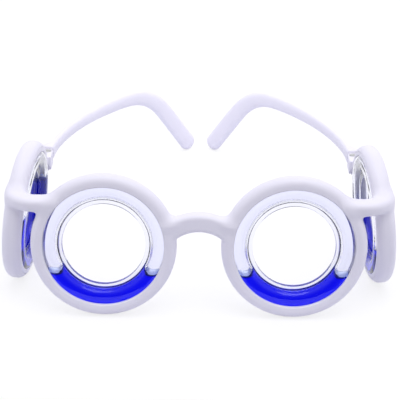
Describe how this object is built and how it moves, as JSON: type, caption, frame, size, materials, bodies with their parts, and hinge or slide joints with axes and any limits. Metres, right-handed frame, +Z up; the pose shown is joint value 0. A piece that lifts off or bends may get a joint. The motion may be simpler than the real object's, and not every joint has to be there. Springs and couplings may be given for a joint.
{
  "type": "motion sickness glasses",
  "caption": "White wraparound glasses frame with lensless rings before and beside the eyes, each holding a clear ring of blue liquid that stays level.",
  "frame": {"origin": "centre of the bounding box at its base, on the table under the middle of the glasses", "axes": "+X to the right as seen from in front of the glasses, +Y from the front rings back to the ear hooks, +Z up; left in a name is the -X side"},
  "size_m": [0.1486, 0.1674, 0.0537],
  "materials": {
    "white_plastic": "soft satin moulded, slightly lavender white",
    "clear_plastic": "clear polished plastic",
    "blue_liquid": "deep blue liquid",
    "pin_steel": "turned bright steel"
  },
  "bodies": {
    "frame": {"front_frame": "white_plastic", "left_side_frame": "white_plastic", "right_side_frame": "white_plastic", "left_front_retaining_ring": "white_plastic", "left_front_capsule_outer": "clear_plastic", "left_front_capsule_inner": "clear_plastic", "left_front_fill_plug": "clear_plastic", "right_front_retaining_ring": "white_plastic", "right_front_capsule_outer": "clear_plastic", "right_front_capsule_inner": "clear_plastic", "right_front_fill_plug": "clear_plastic", "left_side_retaining_ring": "white_plastic", "left_side_capsule_outer": "clear_plastic", "left_side_capsule_inner": "clear_plastic", "left_side_fill_plug": "clear_plastic", "right_side_retaining_ring": "white_plastic", "right_side_capsule_outer": "clear_plastic", "right_side_capsule_inner": "clear_plastic", "right_side_fill_plug": "clear_plastic", "left_hinge_pin": "pin_steel", "right_hinge_pin": "pin_steel"},
    "left_temple": {"left_temple": "white_plastic"},
    "right_temple": {"right_temple": "white_plastic"},
    "left_front_liquid": {"left_front_liquid": "blue_liquid"},
    "right_front_liquid": {"right_front_liquid": "blue_liquid"},
    "left_side_liquid": {"left_side_liquid": "blue_liquid"},
    "right_side_liquid": {"right_side_liquid": "blue_liquid"}
  },
  "joints": [
    {"name": "left_temple_fold", "type": "hinge", "parent": "frame", "child": "left_temple", "pos_m": [-0.0625, -0.01769, 0.03635], "axis": [0, 0, -1], "range_deg": [0, 80]},
    {"name": "right_temple_fold", "type": "hinge", "parent": "frame", "child": "right_temple", "pos_m": [0.0625, -0.01769, 0.03635], "axis": [0, 0, 1], "range_deg": [0, 58]},
    {"name": "left_front_liquid_swing", "type": "hinge", "parent": "frame", "child": "left_front_liquid", "pos_m": [-0.035, -0.07529, 0.02651], "axis": [-0.0086, -0.9862, 0.165], "continuous": true},
    {"name": "right_front_liquid_swing", "type": "hinge", "parent": "frame", "child": "right_front_liquid", "pos_m": [0.035, -0.07529, 0.02651], "axis": [0.0086, -0.9862, 0.165], "continuous": true},
    {"name": "left_side_liquid_swing", "type": "hinge", "parent": "frame", "child": "left_side_liquid", "pos_m": [-0.0668, -0.04729, 0.02675], "axis": [-0.9922, 0.0798, 0.0958], "continuous": true},
    {"name": "right_side_liquid_swing", "type": "hinge", "parent": "frame", "child": "right_side_liquid", "pos_m": [0.0668, -0.04729, 0.02675], "axis": [0.9922, 0.0798, 0.0958], "continuous": true}
  ]
}
